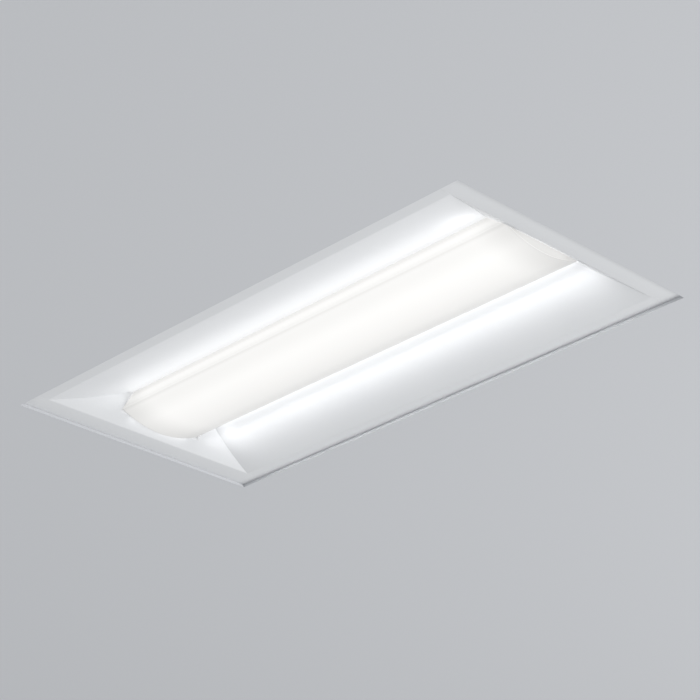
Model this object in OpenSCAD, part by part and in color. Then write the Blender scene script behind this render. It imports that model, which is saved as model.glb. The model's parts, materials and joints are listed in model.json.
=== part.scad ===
// Recessed troffer light with a centre lens, two side reflectors and two end reflectors.
// Millimetres. X runs along the length, Y across, Z up into the ceiling space.
// The origin is the middle of the flange's underside, the face that rests on the ceiling frame.
// Near is the -Y side, far the +Y side, left the -X end and right the +X end.

/* [Flange frame] */
// Overall length over the flange
fixture_l = 1213; // [1180:1:1260]
// Overall width over the flange
fixture_w = 603; // [580:1:640]
// Width of the flat band at each end
end_band_w = 52; // [40:1:60]
// Width of the flat band along each side
side_band_w = 37; // [30:1:45]
// Height of the turned-up lip round the flange
lip_h = 12; // [8:1:16]
// Thickness of the painted steel sheet
sheet_t = 0.8; // [0.6:0.1:1.0]

/* [Reflectors] */
// Height of the side reflectors' inner edge above the flange face
recess_h = 48.8; // [44:0.1:54]
// How far a side reflector bows down from a straight slope
reflector_bow = 2; // [0:0.5:4]
// Horizontal run of the sloped end panel
end_run = 67.5; // [60:0.5:76]
// Gap between the lens and each side reflector
lens_gap = 2; // [1.5:0.1:3]

/* [Lens] */
// Width of the lens over its two legs
lens_w = 199; // [180:1:220]
// Thickness of the lens
lens_t = 2; // [1.5:0.1:3]
// Height of the creases where the legs turn into the bowed face
crease_h = 24.8; // [20:0.1:30]
// Height of the lowest line of the lens above the flange face
lens_clear = 0.8; // [0.5:0.1:3]
// Distance from the light opening's end to the lens's end
lens_inset = 26.5; // [22:0.5:32]
// Thickness of the lens end cap's plate
cap_t = 2; // [1.5:0.1:3]
// Depth of the end cap's rim inside the lens
cap_rim = 6; // [4:0.5:10]

/* [Lens pivot and catch] */
// Distance of the near studs, the pivots, in from the near leg's outer face
stud_inset = 9.5; // [8:0.5:14]
// Distance of the far studs, which the catches hold, from the centre line
catch_y = 66; // [60:1:78]
// Height of the studs above the flange face
stud_h = 28; // [27:0.5:32]
// Radius of the studs
stud_r = 2; // [1.5:0.1:3]
// Length of the studs
stud_l = 6; // [5:0.5:8]
// Radial running clearance of the near studs in their brackets
running_gap = 0.06; // [0.02:0.01:0.1]
// Thickness of the pivot brackets
bracket_t = 1.2; // [1:0.1:2]
// Width of the pivot brackets
bracket_w = 18; // [14:1:24]

/* [Housing] */
// Height of the housing's side walls
wall_h = 39; // [36:1:46]
// Width of the flat shoulder on top of each side wall
shoulder_w = 16; // [15:0.5:20]
// Width of the sheet feet and flanges that join the housing's pieces
flange_w = 12; // [10:1:16]
// Height of the flange that joins each roof to the channel
roof_flange = 18; // [17:0.5:20]
// Width over the centre channel
channel_w = 236; // [226:1:246]
// Height where the sloped roof meets the channel
roof_h = 64; // [62:1:70]
// Height of the channel's top
channel_h = 92; // [90:1:100]
// Height of the LED tray's underside
tray_h = 60; // [58:0.5:61]
// Height of the tray's side flanges
tray_flange = 14; // [10:1:18]
// Clearance between sheets that sit inside each other
fit_gap = 0.2; // [0.1:0.05:0.4]

/* [LED boards] */
// Distance of the boards' outer ends in from the lens's ends
board_inset = 35; // [30:1:80]
// Width of one LED board
board_w = 24; // [18:1:30]
// Thickness of one LED board
board_t = 1.6; // [1:0.1:2]
// Distance of the board rows from the centre line
board_y = 45; // [36:1:60]
// Gap between the two boards of a row
board_gap = 6; // [4:1:12]
// Number of LED packages on one board
led_count = 27; // [12:1:30]
// Side of one square LED package
led_size = 3; // [2:0.5:3.5]
// Height of one LED package
led_t = 0.7; // [0.5:0.1:1]

/* [Driver and wiring] */
// Length of the driver's can
driver_l = 276; // [200:1:300]
// Width of the driver's can
driver_w = 34; // [28:1:44]
// Height of the driver's can
driver_h = 24; // [18:1:26]
// Gap between the grommet's lip and the driver's near ear
driver_gap = 4; // [3:0.5:20]
// Length of each mounting ear of the driver's base
driver_ear = 12; // [10:1:18]
// Radius of the leads
lead_r = 1.2; // [0.8:0.1:1.5]
// Radius of the supply knock-outs
knockout_r = 11.1; // [8:0.1:13]

/* [Access cover] */
// Length of the wiring opening in the channel's top
access_l = 140; // [110:1:150]
// Width of the wiring opening in the channel's top
access_w = 90; // [70:1:110]
// Distance of the wiring opening's middle in from the right end
access_inset = 96.5; // [91:0.5:106]
// Overlap of the cover round the opening
cover_lap = 6; // [4:0.5:8]
// Radius of the cover's hinge pin
hinge_pin_r = 1.25; // [1:0.05:1.5]
// Outer radius of the hinge knuckles
knuckle_r = 2.6; // [2.3:0.1:3.2]

/* [Grid clips] */
// Distance of the clips' pivots in from the ends
clip_inset = 66.5; // [56:0.5:126]
// Reach of a clip from its pivot
clip_reach = 26; // [22:1:32]
// Width of a clip
clip_w = 14; // [12:0.5:14.5]
// Thickness of a clip
clip_t = 1.2; // [1:0.1:1.5]
// Radius of the clips' rivets
clip_rivet_r = 2.4; // [2:0.1:2.8]

/* [Hanger holes] */
// Distance of the hanger wire holes in from the ends
hanger_inset = 33.5; // [26:0.5:38]
// Radius of the hanger wire holes
hanger_r = 2.5; // [2:0.1:3]

/* [Hidden] */

$fn = 48;
left = -1;
right = 1;
near = -1;
far = 1;
little = 1; // How far a cutting shape runs past what it cuts

paint = "white";
steel = "silver";
spring_steel = "slategray";
diffuser_white = "ivory";
board_green = "honeydew";
plastic_white = "whitesmoke";
body_gap = 0.3; // Gap between pieces that move against each other

half_l = fixture_l / 2;
half_w = fixture_w / 2;
open_l = half_l - end_band_w; // Half length of the light opening
open_w = half_w - side_band_w; // Half width of the light opening
leg_y = lens_w / 2;
inner_y = leg_y + lens_gap; // Inner edge of the side reflectors
notch_y = inner_y + lens_gap / 2; // Half width of the end panels' notch
lens_end = open_l - lens_inset; // Outer face of the end caps
notch_x = lens_end + lens_gap * 0.75; // Edge of the end panels' notch
arc_rise = crease_h - lens_clear;
arc_r = (leg_y * leg_y + arc_rise * arc_rise) / (2 * arc_rise);
arc_steps = 24;
leg_top = recess_h + lens_gap * 0.8;
stud_y = leg_y - stud_inset;
bracket_x = notch_x + sheet_t + body_gap; // Inner face of the pivot brackets and catches

wall_y = half_w - sheet_t - fit_gap; // Outer face of the housing's side walls
plate_x = half_l - sheet_t - fit_gap; // Outer face of the end plates
shell_l = plate_x - sheet_t - fit_gap; // Half length of the channel and side walls
channel_y = channel_w / 2;
tray_y = channel_y - sheet_t - fit_gap;
tray_l = bracket_x + 2 * flange_w; // Half length of the tray
tray_top = tray_h + sheet_t;
shoulder_y = wall_y - shoulder_w / 2; // Middle of the shoulder
clip_x = half_l - clip_inset;
hanger_x = half_l - hanger_inset;
access_x = half_l - access_inset; // Middle of the wiring opening

board_z = tray_h - board_t; // Underside of the boards
board_l = lens_end - board_inset - board_gap / 2;
connector_l = 10;
connector_w = 9;
connector_h = 4;
connector_x = board_gap / 2 + 6; // Inner face of a board's connector
port_pitch = 4.5;
led_start = connector_x + connector_l + 8 - board_gap / 2; // First LED from a board's inner end
led_pitch = (board_l - led_start - 10) / (led_count - 1);
screw_r = 1.5;
screw_gap = 0.1;
screw_head_r = 2.9;
screw_head_h = 1.4;
screw_tip = 2; // How far a screw reaches past the sheets that it holds
drill = 4; // How far a hole's cutter reaches to each side of a sheet
board_screws = [led_start + 1.5 * led_pitch, board_l / 2, board_l - 10 - 1.5 * led_pitch];

grommet_r = 5; // Bore of the grommet in the tray
grommet_wall = 3;
grommet_lip = 2;
base_t = 1;
can_z = tray_top + base_t;
terminal_l = 12;
terminal_w = 22;
terminal_h = 14;
slot_l = 4;
slot_w = 1.5;
slot_d = 2;
driver_end = driver_l / 2;
driver_x = grommet_r + grommet_wall + grommet_lip + driver_gap + driver_ear + terminal_l + driver_end;
driver_screw_x = [for (e = [left, right]) driver_x + e * (driver_end + terminal_l + driver_ear / 2)];
lead_z = can_z + terminal_h / 2;
supply_x = access_x - access_l / 2 - 14; // Middle of the supply connectors
supply_l = 18;
supply_w = 12;
supply_h = 8;
supply_pitch = 24;
supply_port_r = 1.6;
supply_port_l = 8;
ground_x = supply_x - supply_l / 2 - 34;
ground_y = board_y + board_w / 2 + 12;

hinge_y = -(access_w / 2 + cover_lap + 3);
hinge_z = channel_h + knuckle_r + body_gap;
knuckle_x = 38; // Half length of the cover's knuckle
lug_l = 20;
cover_z = channel_h + body_gap;
tongue_gap = 1.4;
tongue_w = 40;
tongue_h = 4;

rivet_r = 2;
rivet_head_r = 3.6;
rivet_head_h = 0.8;
rivet_z = lip_h / 2 + 1;
clip_z = wall_h + body_gap;
clip_tab_h = 7;
clip_head_r = 4.5;
clip_head_h = 1.5;

// Points of a path moved to its left by t, with mitred corners
function unit(v) = v / norm(v);
function left_of(v) = [-v[1], v[0]];
function mitred(p, i, t) =
    let (
        a = unit(i == 0 ? p[1] - p[0] : p[i] - p[i - 1]),
        b = unit(i == len(p) - 1 ? p[i] - p[i - 1] : p[i + 1] - p[i]),
        m = (left_of(a) + left_of(b)) / 2
    ) p[i] + m * t / (m * m);
// Closed outline of a bent sheet: its path, then the same path moved by its thickness
function sheet(p, t) = concat(p, [for (i = [len(p) - 1 : -1 : 0]) mitred(p, i, t)]);
// A far half outline continued by its mirror image on the near side
function both_sides(p) = concat(p, [for (i = [len(p) - 1 : -1 : 0]) [-p[i][0], p[i][1]]]);

// Extrudes a [y, z] outline from x0 to x1
module along_x(x0, x1) translate([x0, 0, 0]) rotate([90, 0, 90]) linear_extrude(x1 - x0) children();
// Extrudes an [x, z] outline from y0 to y1
module along_y(y0, y1) translate([0, y1, 0]) rotate([90, 0, 0]) linear_extrude(y1 - y0) children();
// Turns what is drawn for the far side or the right end to the side or end asked for
module on_side(side) mirror([0, side == near ? 1 : 0, 0]) children();
module on_end(end) mirror([end == left ? 1 : 0, 0, 0]) children();
// A round bar along X, Y or Z from the point given
module bar_x(r, l) rotate([0, 90, 0]) cylinder(r = r, h = l);
module bar_y(r, l) rotate([-90, 0, 0]) cylinder(r = r, h = l);

// Cubic curve from a to d, pulled towards b and c
function curve(a, b, c, d, n) =
    [for (i = [0 : n]) let (s = i / n, q = 1 - s)
        a * q * q * q + 3 * b * q * q * s + 3 * c * q * s * s + d * s * s * s];
// Drops the first point, so that curves can be chained
function rest_of(p) = [for (i = [1 : len(p) - 1]) p[i]];
lead_sides = 8;
function heading(p, i) = unit(p[min(i + 1, len(p) - 1)] - p[max(i - 1, 0)]);
// A tube swept along a path, with each ring turned on from the one before
function turned_on(n, h) = unit(n - h * (n * h));
function side_dirs(p, n, i = 0) =
    i == len(p) ? [] : let (m = turned_on(n, heading(p, i))) concat([m], side_dirs(p, m, i + 1));
module lead_tube(p, first_side) {
    dirs = side_dirs(p, first_side);
    rings = [for (i = [0 : len(p) - 1]) let (u = dirs[i], v = cross(heading(p, i), u))
        for (k = [0 : lead_sides - 1]) p[i]
            + lead_r * (cos(360 * k / lead_sides) * u + sin(360 * k / lead_sides) * v)];
    last = (len(p) - 1) * lead_sides;
    polyhedron(points = rings, faces = concat(
        [[for (k = [0 : lead_sides - 1]) k]],
        [for (i = [0 : len(p) - 2]) for (k = [0 : lead_sides - 1])
            let (a = i * lead_sides, b = (k + 1) % lead_sides)
                [a + k, a + lead_sides + k, a + lead_sides + b, a + b]],
        [[for (k = [lead_sides - 1 : -1 : 0]) last + k]]
    ));
}

// Side reflectors: the side band, its lip, the bowed slope and the upright edge under the tray

bow_steps = 12;
slope_from = [open_w, 0];
slope_to = [inner_y, recess_h];
bow_dir = left_of(unit(slope_to - slope_from));
bowed_slope = [for (i = [0 : bow_steps]) let (s = i / bow_steps)
    slope_from + (slope_to - slope_from) * s + bow_dir * 4 * reflector_bow * s * (1 - s)];
side_reflector_path = concat([[half_w, lip_h], [half_w, 0]], bowed_slope, [[inner_y, tray_h]]);

module side_reflector(side) {
    color(paint) on_side(side) difference() {
        intersection() {
            along_x(-half_l, half_l) polygon(sheet(side_reflector_path, -sheet_t));
            union() {
                // The band and lip stop square at the end bands, and the slope stops on the end panels
                translate([-open_l + fit_gap, open_w, -little])
                    cube([2 * (open_l - fit_gap), half_w, channel_h]);
                along_y(0, open_w) polygon([
                    for (e = [left, right]) [e * (open_l - fit_gap), 0],
                    [open_l - fit_gap - end_run, recess_h], [open_l - fit_gap - end_run, channel_h],
                    [-open_l + fit_gap + end_run, channel_h], [-open_l + fit_gap + end_run, recess_h]
                ]);
            }
        }
        for (x = side_rivet_x) translate([x, wall_y, rivet_z]) bar_y(rivet_r, half_w);
    }
}

side_rivet_x = [for (i = [-2 : 2]) i * open_l / 2.4];

// End reflectors: the end band with its lip on three sides and the sloped panel with its notch, which
// the lens's end drops into and which has a slot for the far stud

panel_edge = 8; // How far the sloped panel reaches behind the side reflectors' ends
collar_h = 9; // Rise of the notch's turned-up edges, the collar that hides the space behind them
collar_x = open_l - end_run + little; // Inner end of the collar
collar_y = notch_y + sheet_t;
slot_gap = 1.2; // Gap round a stud, which turns in the collar or swings down through the panel
stud_slot = 2 * (stud_r + slot_gap);

module end_reflector(end) {
    panel = [[open_l, 0], [open_l - end_run, recess_h]];
    color(paint) on_end(end) difference() {
        union() {
            difference() {
                translate([open_l, -half_w, 0]) cube([end_band_w, fixture_w, lip_h]);
                translate([open_l - little, -half_w + sheet_t, sheet_t])
                    cube([end_band_w + little - sheet_t, fixture_w - 2 * sheet_t, lip_h]);
            }
            intersection() {
                along_y(-half_w, half_w) polygon(sheet(concat([[half_l, 0]], panel), -sheet_t));
                along_x(0, half_l) polygon(both_sides([
                    [open_w, 0], [open_w, sheet_t], [open_w + panel_edge, sheet_t],
                    [inner_y + panel_edge, recess_h]
                ]));
            }
            intersection() {
                along_y(-collar_y, collar_y)
                    polygon([each panel, panel[1] + [0, collar_h], panel[0] + [0, collar_h]]);
                translate([collar_x, -collar_y, 0])
                    cube([notch_x + sheet_t - collar_x, 2 * collar_y, channel_h]);
            }
        }
        translate([0, -notch_y, -little]) cube([notch_x, 2 * notch_y, channel_h]);
        translate([0, catch_y - stud_slot / 2, -little])
            cube([lens_end + stud_l + slot_gap, stud_slot, channel_h]);
        translate([notch_x - little, -stud_y - stud_slot / 2, stud_h - stud_slot / 2])
            cube([sheet_t + 2 * little, stud_slot, channel_h]);
        for (y = end_rivet_y) translate([plate_x, y, rivet_z]) bar_x(rivet_r, half_l);
    }
}

end_rivet_y = [for (i = [-1 : 1]) i * open_w / 1.5];

// Lens: the bowed face between its creases and an upright leg along each long edge

function arc_point(y, r) = [y, lens_clear + arc_r - sqrt(r * r - y * y)];
outer_arc = [for (i = [0 : arc_steps]) arc_point(-leg_y + 2 * leg_y * i / arc_steps, arc_r)];
inner_leg = leg_y - lens_t;
inner_arc = [for (i = [arc_steps : -1 : 0])
    arc_point(-inner_leg + 2 * inner_leg * i / arc_steps, arc_r - lens_t)];
lens_outline = concat(
    outer_arc, [[leg_y, leg_top], [inner_leg, leg_top]],
    inner_arc, [[-inner_leg, leg_top], [-leg_y, leg_top]]
);

module lens_diffuser()
    color(diffuser_white) along_x(-lens_end + cap_t, lens_end - cap_t) polygon(lens_outline);

// End caps: a plate of the lens's outline, a rim inside the lens and two studs

rim_leg = inner_leg - fit_gap;
rim_arc = [for (i = [0 : arc_steps])
    arc_point(-rim_leg + 2 * rim_leg * i / arc_steps, arc_r - lens_t - fit_gap)];
rim_top = leg_top - 3;

module lens_end_cap(end) {
    color(diffuser_white) on_end(end) {
        along_x(lens_end - cap_t, lens_end)
            polygon(concat(outer_arc, [[leg_y, leg_top], [-leg_y, leg_top]]));
        along_x(lens_end - cap_t - cap_rim, lens_end - cap_t)
            polygon(sheet(concat([[-rim_leg, rim_top]], rim_arc, [[rim_leg, rim_top]]), lens_t));
        for (y = [-stud_y, catch_y]) translate([lens_end, y, stud_h]) bar_x(stud_r, stud_l);
    }
}

// Pivot brackets: a plate that hangs from the tray and carries the near studs

module bracket_rivet_holes(middle) {
    for (y = bracket_rivet_y) translate([bracket_rivet_x, middle + y, tray_h - bracket_t - little])
        cylinder(r = rivet_r, h = bracket_t + sheet_t + 2 * little);
}

bracket_foot = 2 * flange_w;
bracket_drop = 6; // How far a bracket or catch reaches below its stud

module pivot_bracket(end) {
    color(steel) on_end(end) difference() {
        translate([0, -stud_y, 0]) union() {
            translate([bracket_x, -bracket_w / 2, stud_h])
                cube([bracket_t, bracket_w, tray_h - stud_h]);
            translate([bracket_x, 0, stud_h]) bar_x(bracket_w / 2, bracket_t);
            translate([bracket_x, -bracket_w / 2, tray_h - bracket_t])
                cube([bracket_foot, bracket_w, bracket_t]);
        }
        translate([bracket_x - little, -stud_y, stud_h])
            bar_x(stud_r + running_gap, bracket_t + 2 * little);
        bracket_rivet_holes(-stud_y);
    }
}

bracket_rivet_x = bracket_x + bracket_foot - 8;
bracket_rivet_y = [-4.5, 4.5];

// Lens catches: a spring strip whose fork holds the far studs

catch_t = 0.6;
fork_y = stud_r + body_gap; // Half width inside the fork

module lens_catch(end) {
    fork = [
        [-fork_y - 3, stud_h - bracket_drop - 3], [-fork_y, stud_h - bracket_drop],
        for (a = [180 : -20 : 0]) [fork_y * cos(a), stud_h + fork_y * sin(a)],
        [fork_y, stud_h - bracket_drop], [fork_y + 3, stud_h - bracket_drop - 3]
    ];
    color(spring_steel) on_end(end) difference() {
        translate([0, catch_y, 0]) union() {
            along_x(bracket_x, bracket_x + stud_l) polygon(sheet(fork, catch_t));
            translate([bracket_x, -catch_t, stud_h + fork_y + catch_t / 2])
                cube([stud_l, 2 * catch_t, tray_h - stud_h - fork_y - catch_t / 2]);
            translate([bracket_x, -bracket_w / 2, tray_h - catch_t])
                cube([bracket_foot, bracket_w, catch_t]);
        }
        bracket_rivet_holes(catch_y);
    }
}

// A rivet along +Z with its seat at the origin and a joint of the given grip below it
module rivet(grip, r = rivet_r, head_r = rivet_head_r, head_h = rivet_head_h) {
    cylinder(r = head_r, h = head_h);
    translate([0, 0, -grip]) cylinder(r = r, h = grip);
    translate([0, 0, -grip - head_h]) cylinder(r = r * 1.4, h = head_h);
}

module bracket_rivets() {
    color(steel) for (e = [left, right]) for (y = bracket_rivet_y) on_end(e) {
        translate([bracket_rivet_x, y - stud_y, tray_top]) rivet(sheet_t + bracket_t);
        translate([bracket_rivet_x, y + catch_y, tray_top]) rivet(sheet_t + catch_t);
    }
}

// LED tray: the plate that closes the channel and carries the boards, the driver and the brackets

tray_screw_x = [for (i = [-1.5 : 1.5]) i * tray_l / 2];
tray_screw_z = tray_h + tray_flange / 2 + 2;

tray_path = [
    [tray_y, tray_h + tray_flange], [tray_y, tray_h],
    [-tray_y, tray_h], [-tray_y, tray_h + tray_flange]
];

module led_tray() {
    color(paint) difference() {
        along_x(-tray_l, tray_l) polygon(sheet(tray_path, -sheet_t));
        translate([0, 0, tray_h - little]) cylinder(r = grommet_r + grommet_wall, h = sheet_t + 2 * little);
        for (e = [left, right]) for (y = [-stud_y, catch_y]) on_end(e) bracket_rivet_holes(y);
        for (x = board_screws) for (e = [left, right]) for (s = [near, far])
            translate([e * (board_gap / 2 + x), s * board_y, tray_h - little])
                cylinder(r = screw_r, h = sheet_t + 2 * little);
        for (x = driver_screw_x) translate([x, 0, tray_h - little])
            cylinder(r = screw_r, h = sheet_t + 2 * little);
        translate([ground_x, ground_y, tray_h - little]) cylinder(r = screw_r, h = sheet_t + 2 * little);
        for (x = tray_screw_x) translate([x, -half_w, tray_screw_z]) bar_y(screw_r, fixture_w);
    }
}

// LED boards: 1 and 2 are the near row, 3 and 4 the far row

module led_board(end, side) {
    color(board_green) on_end(end) on_side(side) difference() {
        union() {
            translate([board_gap / 2, board_y - board_w / 2, board_z]) cube([board_l, board_w, board_t]);
            for (i = [0 : led_count - 1])
                translate([board_gap / 2 + led_start + i * led_pitch, board_y, board_z - led_t])
                    translate([-led_size / 2, -led_size / 2, 0])
                        cube([led_size, led_size, led_t + board_t / 2]);
        }
        for (x = board_screws) translate([board_gap / 2 + x, board_y, board_z - little])
            cylinder(r = screw_r + screw_gap, h = board_t + 2 * little);
    }
}

// A pan head screw that points along +Z, with its head's seat at the origin
module screw(l, r = screw_r, head_r = screw_head_r, head_h = screw_head_h) {
    cylinder(r = r, h = l);
    translate([0, 0, -head_h]) cylinder(r1 = head_r * 0.8, r2 = head_r, h = head_h);
}

module led_board_screws() {
    color(steel) for (x = board_screws) for (e = [left, right]) for (s = [near, far])
        translate([e * (board_gap / 2 + x), s * board_y, board_z]) screw(board_t + sheet_t + screw_tip);
}

// Board connectors: a push-in block under the inner end of each board

module board_connectors() {
    color(plastic_white) for (e = [left, right]) for (s = [near, far])
        on_end(e) translate([connector_x, s * board_y - connector_w / 2, board_z - connector_h])
            cube([connector_l, connector_w, connector_h]);
}

jumper_z = board_z - connector_h / 2;

module board_jumpers() {
    color("white") for (s = [near, far]) {
        y = s * (board_y + port_pitch / 2);
        lead_tube(curve(
            [-connector_x, y, jumper_z], [-connector_x / 3, y, jumper_z],
            [connector_x / 3, y, jumper_z], [connector_x, y, jumper_z], 6
        ), [0, 0, 1]);
    }
}

module tray_grommet() {
    neck_r = grommet_r + grommet_wall;
    lip_r = neck_r + grommet_lip;
    color("dimgray") rotate_extrude() polygon([
        [grommet_r, tray_h - grommet_lip], [lip_r, tray_h - grommet_lip],
        [lip_r, tray_h], [neck_r, tray_h], [neck_r, tray_top], [lip_r, tray_top],
        [lip_r, tray_top + grommet_lip], [grommet_r, tray_top + grommet_lip]
    ]);
}

// Driver: a base plate with an ear at each end, a can on it and a terminal block at each end of the can

module driver_base() {
    l = driver_l + 2 * terminal_l + 2 * driver_ear;
    color(steel) difference() {
        translate([driver_x - l / 2, -driver_w / 2, tray_top]) cube([l, driver_w, base_t]);
        for (x = driver_screw_x) translate([x, 0, tray_top - little])
            cylinder(r = screw_r + screw_gap, h = base_t + 2 * little);
    }
}

can_edge = 3; // Radius of the can's rounded long edges

module driver_can() {
    side = driver_w / 2 - can_edge;
    top = can_z + driver_h - can_edge;
    color(plastic_white) along_x(driver_x - driver_end, driver_x + driver_end) polygon([
        [-driver_w / 2, can_z], [driver_w / 2, can_z],
        for (a = [0 : 15 : 90]) [side + can_edge * cos(a), top + can_edge * sin(a)],
        for (a = [90 : 15 : 180]) [-side + can_edge * cos(a), top + can_edge * sin(a)]
    ]);
}

module driver_terminal(end) {
    translate([driver_x, 0, 0]) on_end(end) translate([driver_end, -terminal_w / 2, can_z]) difference() {
        cube([terminal_l, terminal_w, terminal_h]);
        // Release slots on top
        for (y = [-port_pitch, 0, port_pitch])
            translate([(terminal_l - slot_l) / 2, (terminal_w - slot_w) / 2 + y, terminal_h - slot_d])
                cube([slot_l, slot_w, slot_d + little]);
    }
}

module driver_input_terminal() { color("orange") driver_terminal(right); }
module driver_output_terminal() { color("gainsboro") driver_terminal(left); }

module driver_screws() {
    color(steel) for (x = driver_screw_x)
        translate([x, 0, tray_top + base_t]) mirror([0, 0, 1]) screw(base_t + sheet_t + screw_tip);
}

// Leads, each one cubic curve or a chain of them

lead_steps = 14;
driver_out = driver_x - driver_end - terminal_l;
driver_in = driver_x + driver_end + terminal_l;
supply_in = supply_x - supply_l / 2;
supply_z = tray_top + supply_h / 2;

module input_lead(y0, y1) {
    pull = (supply_in - driver_in) / 2;
    lead_tube(curve(
        [driver_in, y0, lead_z], [driver_in + pull, y0, lead_z],
        [supply_in - pull, y1, supply_z], [supply_in, y1, supply_z], lead_steps
    ), [0, 0, 1]);
}

module line_lead() { color("black") input_lead(-port_pitch, -supply_pitch); }
module neutral_lead() { color("white") input_lead(port_pitch, 0); }

ground_head_h = 2.2;
ground_head_r = 3.4;
ground_tag_t = 0.8;
ground_tag_r = 4.5;
tag_neck = 3; // Width of the tag's neck and crimp
tag_crimp = 5; // Length of the tag's crimp
tag_end = ground_x + ground_tag_r + tag_crimp + 1;

module ground_lead() {
    // A ring tag under the ground screw's head, then the wire
    color("green") {
        difference() {
            union() {
                translate([ground_x, ground_y, tray_top]) cylinder(r = ground_tag_r, h = ground_tag_t);
                translate([ground_x, ground_y - tag_neck / 2, tray_top])
                    cube([ground_tag_r + tag_neck, tag_neck, ground_tag_t]);
                translate([tag_end - tag_crimp, ground_y - tag_neck / 2, tray_top])
                    cube([tag_crimp, tag_neck, 2 * lead_r]);
            }
            translate([ground_x, ground_y, tray_top - little])
                cylinder(r = screw_r + screw_gap, h = ground_tag_t + 2 * little);
        }
        pull = (supply_in - tag_end) / 2;
        lead_tube(curve(
            [tag_end, ground_y, tray_top + lead_r], [tag_end + pull, ground_y, tray_top + lead_r + 1],
            [supply_in - pull, supply_pitch, supply_z], [supply_in, supply_pitch, supply_z], lead_steps
        ), [0, 0, 1]);
    }
}

module ground_screw() {
    color("green") translate([ground_x, ground_y, tray_top + ground_tag_t]) mirror([0, 0, 1])
        screw(ground_tag_t + sheet_t + screw_tip, screw_r, ground_head_r, ground_head_h);
}

// Each output lead goes from the driver down through the grommet and across to its row's connector
module output_lead(side) {
    y = side * grommet_r / 2;
    y_turned = side * (grommet_r / 2 + 7);
    z = jumper_z - 2.5;
    lead_tube(concat(
        curve([driver_out, side * port_pitch, lead_z], [driver_out / 2, side * port_pitch, lead_z],
            [0, y, lead_z], [0, y, tray_top + 2], 10),
        rest_of(curve([0, y, tray_top + 2], [0, y, z + 2], [0, y, z], [0, y_turned, z], 6)),
        rest_of(curve([0, y_turned, z], [0, side * (board_y - 6), z],
            [0, side * (board_y - port_pitch / 2), jumper_z],
            [connector_x, side * (board_y - port_pitch / 2), jumper_z], 12))
    ), [0, side, 0]);
}

module output_lead_near() { color("firebrick") output_lead(near); }
module output_lead_far() { color("royalblue") output_lead(far); }

module supply_connectors() {
    color("gainsboro") for (i = [-1 : 1]) translate([supply_in, i * supply_pitch, 0]) difference() {
        translate([0, -supply_w / 2, tray_top]) cube([supply_l, supply_w, supply_h]);
        for (s = [-1, 1]) translate([supply_l - supply_port_l, s * supply_w / 4, supply_z])
            bar_x(supply_port_r, supply_port_l + little);
    }
}

// Housing: a centre channel, two side walls with sloped roofs and two end plates

access_from = access_x - access_l / 2;
channel_rivet_x = [for (i = [-2 : 2]) i * shell_l / 2.3];
channel_rivet_z = roof_h + roof_flange - 4;

module housing_channel() {
    color(steel) difference() {
        union() {
            along_x(-shell_l, shell_l) polygon(sheet([
                [channel_y, tray_h], [channel_y, channel_h], [-channel_y, channel_h], [-channel_y, tray_h]
            ], sheet_t));
            for (e = [left, right])
                translate([access_x + e * (knuckle_x + body_gap + lug_l / 2) - lug_l / 2, hinge_y, 0]) {
                    translate([0, 0, hinge_z]) bar_x(knuckle_r, lug_l);
                    translate([0, -knuckle_r, channel_h - sheet_t / 2])
                        cube([lug_l, 2 * knuckle_r, hinge_z - channel_h + sheet_t / 2]);
                }
        }
        translate([access_from, -access_w / 2, channel_h - drill])
            cube([access_l, access_w, drill + little]);
        translate([access_x - knuckle_x - 2 * lug_l, hinge_y, hinge_z])
            bar_x(hinge_pin_r, 2 * (knuckle_x + 2 * lug_l));
        for (s = [near, far]) on_side(s) {
            for (x = tray_screw_x) translate([x, tray_y, tray_screw_z]) bar_y(screw_r + screw_gap, drill);
            for (x = channel_rivet_x)
                translate([x, channel_y - drill, channel_rivet_z]) bar_y(rivet_r, 2 * drill);
        }
        for (e = [left, right]) for (y = plate_screw_y)
            translate([e * plate_screw_x, y, channel_h - drill])
                cylinder(r = screw_r + screw_gap, h = 2 * drill);
    }
}

side_path = [
    [wall_y - flange_w, sheet_t], [wall_y, sheet_t], [wall_y, wall_h], [wall_y - shoulder_w, wall_h],
    [channel_y + sheet_t, roof_h], [channel_y + sheet_t, roof_h + roof_flange]
];

module housing_side(side) {
    color(steel) on_side(side) difference() {
        along_x(-shell_l, shell_l) polygon(sheet(side_path, sheet_t));
        for (e = [left, right]) {
            translate([e * clip_x, shoulder_y, wall_h - drill]) cylinder(r = clip_rivet_r, h = 2 * drill);
            translate([e * hanger_x, shoulder_y, wall_h - drill])
                cylinder(r = hanger_r, h = 2 * drill);
            translate([e * corner_rivet_x, wall_y - drill, corner_rivet_z]) bar_y(rivet_r, 2 * drill);
        }
        for (x = side_rivet_x) translate([x, wall_y - drill, rivet_z]) bar_y(rivet_r, 2 * drill);
        for (x = channel_rivet_x)
            translate([x, channel_y - drill, channel_rivet_z]) bar_y(rivet_r, 2 * drill);
        for (x = tray_screw_x)
            translate([x, channel_y - drill, tray_screw_z]) bar_y(screw_r + screw_gap, 2 * drill);
    }
}

corner_rivet_x = shell_l - flange_w / 2;
corner_rivet_z = wall_h * 0.6;
plate_screw_x = shell_l - flange_w / 2;
plate_screw_y = [-channel_y * 0.75, channel_y * 0.75];
knockout_y = 45;
knockout_z = (tray_top + channel_h - sheet_t) / 2;
knockout_cut = 0.4;
knockout_tab = 3;

// A round knock-out still held by a tab on each side of its cut
module knockout_cut_line() {
    difference() {
        bar_x(knockout_r, drill);
        translate([-little, 0, 0]) bar_x(knockout_r - knockout_cut, drill + 2 * little);
        translate([-little, -knockout_r - little, -knockout_tab / 2])
            cube([drill + 2 * little, 2 * (knockout_r + little), knockout_tab]);
    }
}

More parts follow.
